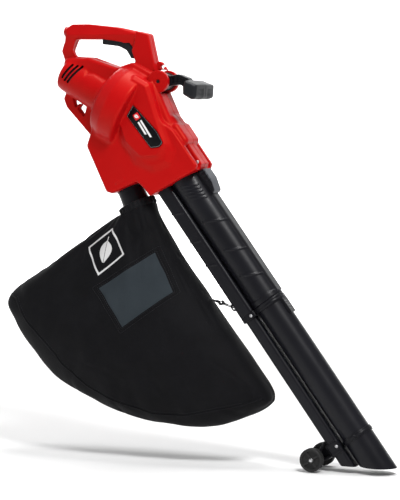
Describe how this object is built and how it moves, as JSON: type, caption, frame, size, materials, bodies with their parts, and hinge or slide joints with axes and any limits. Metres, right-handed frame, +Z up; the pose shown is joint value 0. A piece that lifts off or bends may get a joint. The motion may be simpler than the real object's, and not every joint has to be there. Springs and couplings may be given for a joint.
{
  "type": "leaf blower",
  "caption": "Hand-held electric leaf blower and garden vacuum with a fan casing, two joined tubes, a debris bag, a front handle and wheels.",
  "frame": {"origin": "middle of the main handle's grip bar", "axes": "+Z up with the machine held as in use, nozzle down; +X the way the nozzle points; +Y the machine's left side"},
  "size_m": [0.9498, 0.208, 0.9855],
  "materials": {
    "red_plastic": "satin moulded ABS, fine grain",
    "black_plastic": "satin black moulded plastic",
    "grey_plastic": "mid grey moulded plastic",
    "white_plastic": "plain off-white",
    "label": "glossy black, blank",
    "steel": "zinc-plated steel",
    "copper": "enamelled copper",
    "brass": "plain brass",
    "carbon": "pressed carbon",
    "rubber": "matt black rubber",
    "bag_fabric": "black woven polyester",
    "webbing": "black woven tape"
  },
  "bodies": {
    "machine": {"bag": "bag_fabric", "bag_collar": "black_plastic", "bag_duct": "black_plastic", "bag_strap": "webbing", "bag_zip": "webbing", "bracket_screw": "steel", "brush_holder_1": "brass", "brush_holder_2": "brass", "carbon_brush_1": "carbon", "carbon_brush_2": "carbon", "field_winding_front": "copper", "field_winding_rear": "copper", "front_bearing": "steel", "housing_left": "red_plastic", "housing_right": "red_plastic", "inlet_elbow": "black_plastic", "inlet_pin_1": "brass", "inlet_pin_2": "brass", "joint_band": "black_plastic", "joint_screw": "steel", "label_plate_left": "label", "label_plate_right": "label", "lower_blow_tube": "black_plastic", "lower_suction_tube": "black_plastic", "mains_inlet": "black_plastic", "motor_core": "steel", "pivot_bolt": "steel", "rear_bearing": "steel", "safety_wedge": "grey_plastic", "snap_hook": "steel", "socket_screw": "steel", "suppression_capacitor": "white_plastic", "switch_body": "black_plastic", "tube_clamp": "black_plastic", "tube_eye": "black_plastic", "upper_tube": "black_plastic", "wheel_axle": "steel", "wheel_bracket": "black_plastic", "zip_slider": "steel"},
    "rotor": {"armature": "steel", "commutator": "copper", "cooling_fan": "black_plastic", "impeller": "black_plastic", "impeller_nut": "steel", "shredder_blade": "steel"},
    "trigger": {"trigger": "grey_plastic"},
    "front_handle": {"front_handle_arm": "black_plastic", "front_grip_left": "grey_plastic", "front_grip_right": "grey_plastic", "detent_ring_left": "rubber", "detent_ring_right": "rubber"},
    "mode_selector": {"mode_flap": "black_plastic", "mode_lever": "grey_plastic"},
    "wheel_right": {"wheel_right": "black_plastic", "wheel_screw_right": "steel"},
    "wheel_left": {"wheel_left": "black_plastic", "wheel_screw_left": "steel"},
    "hook_gate": {"snap_hook_gate": "steel"}
  },
  "joints": [
    {"name": "fan_spin", "type": "hinge", "parent": "machine", "child": "rotor", "pos_m": [0.072, 0, -0.17], "axis": [0.8829, 0, -0.4695], "continuous": true},
    {"name": "trigger_pull", "type": "hinge", "parent": "machine", "child": "trigger", "pos_m": [0.095, 0, -0.05], "axis": [0, 1, 0], "range_deg": [0, 4], "stiffness_Nm_per_rad": 2, "springref_deg": -2.29},
    {"name": "front_handle_swing", "type": "hinge", "parent": "machine", "child": "front_handle", "pos_m": [0.162, 0, -0.1117], "axis": [0, 1, 0], "range_deg": [-30, 30]},
    {"name": "mode_selector_turn", "type": "hinge", "parent": "machine", "child": "mode_selector", "pos_m": [0.113, 0, -0.31], "axis": [0, 1, 0], "range_deg": [-115, 0]},
    {"name": "wheel_right_spin", "type": "hinge", "parent": "machine", "child": "wheel_right", "pos_m": [0.532, -0.041, -0.9405], "axis": [0, 1, 0], "continuous": true},
    {"name": "wheel_left_spin", "type": "hinge", "parent": "machine", "child": "wheel_left", "pos_m": [0.532, 0.041, -0.9405], "axis": [0, 1, 0], "continuous": true},
    {"name": "hook_gate_swing", "type": "hinge", "parent": "machine", "child": "hook_gate", "pos_m": [0.31693, 0.0065, -0.61123], "axis": [-0.2966, 0, -0.955], "range_deg": [0, 12], "stiffness_Nm_per_rad": 0.01, "springref_deg": -5.73}
  ]
}
